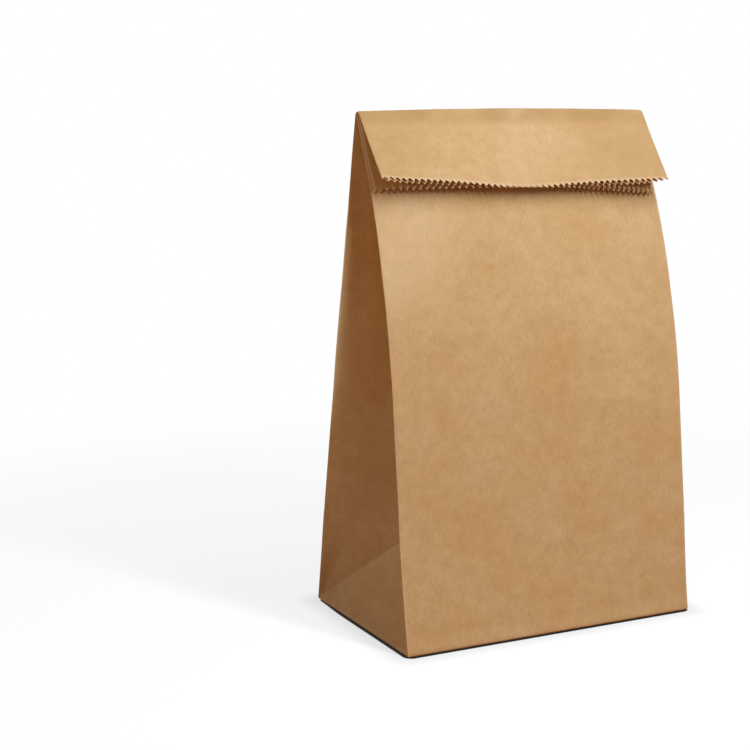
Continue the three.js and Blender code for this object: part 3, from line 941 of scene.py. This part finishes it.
def kraft_material():
    material = bpy.data.materials.new("kraft_paper")
    material.use_nodes = True
    tree = material.node_tree
    flat = add_node(tree, "ShaderNodeUVMap", uv_map="sheet").outputs["UV"]
    grain = paper_grain(tree, flat)
    paper = bare_paper(tree, flat, grain)
    patched = patched_paper(tree, flat, paper)
    bump = add_node(tree, "ShaderNodeBump", {
        "Height": grain.blend, "Strength": BUMP_STRENGTH, "Distance": BUMP_HEIGHT,
    })
    shader = tree.nodes["Principled BSDF"]
    shader.inputs["Specular IOR Level"].default_value = PAPER_SPECULAR
    tree.links.new(worn_and_highlit_paper(tree, flat, grain, patched), shader.inputs["Base Color"])
    tree.links.new(ramp(tree, grain.fibre, (0, 1), PAPER_ROUGH), shader.inputs["Roughness"])
    tree.links.new(bump.outputs["Normal"], shader.inputs["Normal"])
    return material


def paper_bag():
    mesh = bag_mesh()
    mesh.materials.append(kraft_material())
    bag = bpy.data.objects.new("paper_bag_sheet", mesh)
    bpy.context.scene.collection.objects.link(bag)
    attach(bag, "root")
    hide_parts("paper_bag")


# The studio, in metres
CAMERA_PLACE = Vector((-0.394588, -0.651995, 0.246570))
CAMERA_YAW = math.radians(26.553)  # the camera looks to the right of +Y
CAMERA_PITCH = math.radians(9.913)  # and down
FRAME_PIXELS = 750  # width of the photograph
FOCAL_PIXELS = 1620
SENSOR = 36  # millimetres

KEY = SimpleNamespace(
    place=Vector((0.16, -0.55, 0.78)), aim=Vector((-0.06, -0.03, 0.14)), width=0.1, height=0.8, spread=180,
    power=7.9, colour=(0.935, 1.04, 1.11),
)
FILL = SimpleNamespace(
    place=Vector((-0.66, -0.68, 0.30)), aim=Vector((0, 0, 0.12)), width=0.5, height=0.5, spread=180,
    power=0.80, colour=(1, 0.79, 0.65),
)
RIM = SimpleNamespace(
    place=Vector((-0.74, 0.46, 0.20)), aim=Vector((-0.07, 0.03, 0.23)), width=0.15, height=0.15, spread=40,
    power=0.19, colour=(0.92, 1.04, 1.06),
)
AMBIENT = (0.18, 0.115, 0.075, 1)

FLOOR_RADIUS = 1.5
FLOOR_SIDES = 64
FLOOR_BOUNCE = (0.36, 0.15, 0.04, 1)  # as the object sees it
FLOOR_GLOW = (0.85, 0.86, 0.868, 1)  # as the camera sees it in full shadow
FLOOR_SHADE = (0.19, 0.19, 0.19, 1)  # and what the lamps add to it elsewhere
FLOOR_CLEAR = (0.26, 0.55)  # distances between which the floor fades to plain white
# The floor's contact shadow is painted: black under the edge of the base, and darker beside it
CONTACT_ROUND = 0.003  # radius at the corners of the outline of the base
CONTACT_GAP = 0.0011  # from that outline to the end of the painted black gap under its edge
CONTACT_EDGE = (0.6, 1.4)  # shares of that between which the gap's end fades
CONTACT_SHADOW_BLACK = (0.02, 0.02, 0.02, 1)
CONTACT_REST = 0.03  # from the back corners, which rest on the floor, to where the gap is fully open
CONTACT_SOFT = 0.014  # from the outline to the end of the painted soft shadow beside the gap
CONTACT_LIGHT = 0.83  # share of the floor's light at the start of the soft shadow


def camera():
    data = bpy.data.cameras.new("camera")
    data.sensor_fit = "HORIZONTAL"
    data.sensor_width = SENSOR
    data.lens = FOCAL_PIXELS / FRAME_PIXELS * SENSOR
    eye = bpy.data.objects.new("camera", data)
    bpy.context.scene.collection.objects.link(eye)
    right = Vector((math.cos(CAMERA_YAW), -math.sin(CAMERA_YAW), 0))
    level = Vector((math.sin(CAMERA_YAW), math.cos(CAMERA_YAW), 0))
    back = -level * math.cos(CAMERA_PITCH) + Vector((0, 0, math.sin(CAMERA_PITCH)))
    turn = Matrix((right, back.cross(right), back)).transposed().to_4x4()
    eye.matrix_world = Matrix.Translation(CAMERA_PLACE) @ turn
    bpy.context.scene.camera = eye


def soft_lamp(name, lamp):
    data = bpy.data.lights.new(name, "AREA")
    data.shape = "RECTANGLE"
    data.size = lamp.width
    data.size_y = lamp.height
    data.spread = math.radians(lamp.spread)
    data.energy = lamp.power
    data.color = lamp.colour
    body = bpy.data.objects.new(name, data)
    bpy.context.scene.collection.objects.link(body)
    body.location = lamp.place
    body.rotation_euler = (lamp.aim - lamp.place).to_track_quat("-Z", "Y").to_euler()


def seen_directly(tree):
    """1 for rays from the camera, and for those that mirrors and glass pass on."""
    path = add_node(tree, "ShaderNodeLightPath").outputs
    either = worked_out(tree, "MAXIMUM", path["Is Camera Ray"], path["Is Glossy Ray"])
    return worked_out(tree, "MAXIMUM", either, path["Is Transmission Ray"])


def studio_world():
    world = bpy.data.worlds.new("studio")
    world.use_nodes = True
    tree = world.node_tree
    ambient = tree.nodes["Background"]
    ambient.inputs["Color"].default_value = AMBIENT
    white = add_node(tree, "ShaderNodeBackground", {"Color": WHITE})
    both = mixed_shader(tree, seen_directly(tree), ambient.outputs[0], white.outputs[0])
    tree.links.new(both, tree.nodes["World Output"].inputs["Surface"])
    bpy.context.scene.world = world


def from_base(tree, place):
    """Distance from the rounded outline of the base, and less than 0 inside it."""
    apart = vector_sum(tree, "ABSOLUTE", place)["Vector"]
    corner = Vector((HALF_WIDTH * METRES - CONTACT_ROUND, HALF_DEPTH * METRES - CONTACT_ROUND, 1))
    beyond = vector_sum(tree, "SUBTRACT", apart, corner)["Vector"]
    outside = vector_sum(tree, "MAXIMUM", beyond, (0, 0, 0))["Vector"]
    reach = vector_sum(tree, "LENGTH", outside)["Value"]
    return worked_out(tree, "SUBTRACT", reach, CONTACT_ROUND)


def contact_shadow(tree, place):
    """Painted shadow on the floor: the share of its light kept beside the base, none in the black gap under
    its edge, and a little less near it.
    """
    off = from_base(tree, place)
    back_edge = HALF_DEPTH * METRES
    depth = add_node(tree, "ShaderNodeSeparateXYZ", {0: place}).outputs["Y"]
    closed = soft_ramp(tree, depth, (back_edge - CONTACT_REST, back_edge), (0, CONTACT_GAP))
    clear = worked_out(tree, "ADD", off, closed)
    gap = soft_ramp(tree, clear, [share * CONTACT_GAP for share in CONTACT_EDGE])
    soft = soft_ramp(tree, off, (0, CONTACT_SOFT), (CONTACT_LIGHT, 1))
    return worked_out(tree, "MULTIPLY", gap, soft)


def open_floor(tree, place):
    """The floor with the lamps' shadows near the object, and plain white far from it."""
    shaded = add_node(tree, "ShaderNodeBsdfDiffuse", {"Color": FLOOR_SHADE})
    glow = add_node(tree, "ShaderNodeEmission", {"Color": FLOOR_GLOW, "Strength": 1})
    near = add_node(tree, "ShaderNodeAddShader", {0: shaded.outputs[0], 1: glow.outputs[0]})
    white = add_node(tree, "ShaderNodeEmission", {"Color": WHITE, "Strength": 1})
    reach = vector_sum(tree, "LENGTH", place)["Value"]
    clear = soft_ramp(tree, reach, FLOOR_CLEAR)
    return mixed_shader(tree, clear, near.outputs[0], white.outputs[0])


def floor_material():
    material = bpy.data.materials.new("floor")
    material.use_nodes = True
    tree = material.node_tree
    tree.nodes.remove(tree.nodes["Principled BSDF"])
    place = add_node(tree, "ShaderNodeTexCoord").outputs["Object"]
    # painted black shadow under the edge of the base
    shadow_black = add_node(tree, "ShaderNodeEmission", {"Color": CONTACT_SHADOW_BLACK})
    seen = mixed_shader(tree, contact_shadow(tree, place), shadow_black.outputs[0], open_floor(tree, place))
    bounce = add_node(tree, "ShaderNodeBsdfDiffuse", {"Color": FLOOR_BOUNCE})
    both = mixed_shader(tree, seen_directly(tree), bounce.outputs[0], seen)
    tree.links.new(both, tree.nodes["Material Output"].inputs["Surface"])
    return material


def floor():
    mesh = bpy.data.meshes.new("floor")
    turns = [k * math.tau / FLOOR_SIDES for k in range(FLOOR_SIDES)]
    corners = [(FLOOR_RADIUS * math.cos(turn), FLOOR_RADIUS * math.sin(turn), 0) for turn in turns]
    mesh.from_pydata(corners, [], [list(range(FLOOR_SIDES))])
    mesh.materials.append(floor_material())
    ground = bpy.data.objects.new("floor", mesh)
    bpy.context.scene.collection.objects.link(ground)


paper_bag()
camera()
soft_lamp("key", KEY)
soft_lamp("fill", FILL)
soft_lamp("rim", RIM)
studio_world()
floor()
bpy.context.scene.view_settings.view_transform = "Standard"
